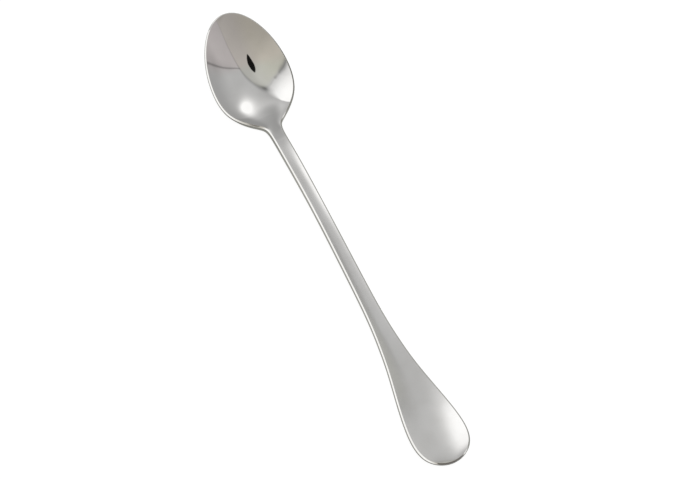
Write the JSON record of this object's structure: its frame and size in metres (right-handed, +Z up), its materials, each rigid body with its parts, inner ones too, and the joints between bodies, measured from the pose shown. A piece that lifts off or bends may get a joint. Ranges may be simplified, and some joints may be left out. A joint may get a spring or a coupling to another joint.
{
  "type": "iced tea spoon",
  "caption": "Long-handled spoon of polished stainless steel with an egg-shaped bowl, a slim arched shank and a pear-shaped handle end.",
  "frame": {"origin": "centre of the bounding box on the plane the spoon lies on", "axes": "+Y along the spoon towards the tip of the bowl, +X across it, +Z up out of the bowl's hollow"},
  "size_m": [0.0322, 0.19, 0.0149],
  "materials": {
    "polished_steel": "mirror-polished stainless steel"
  },
  "bodies": {
    "root": {"spoon": "polished_steel"}
  },
  "joints": []
}
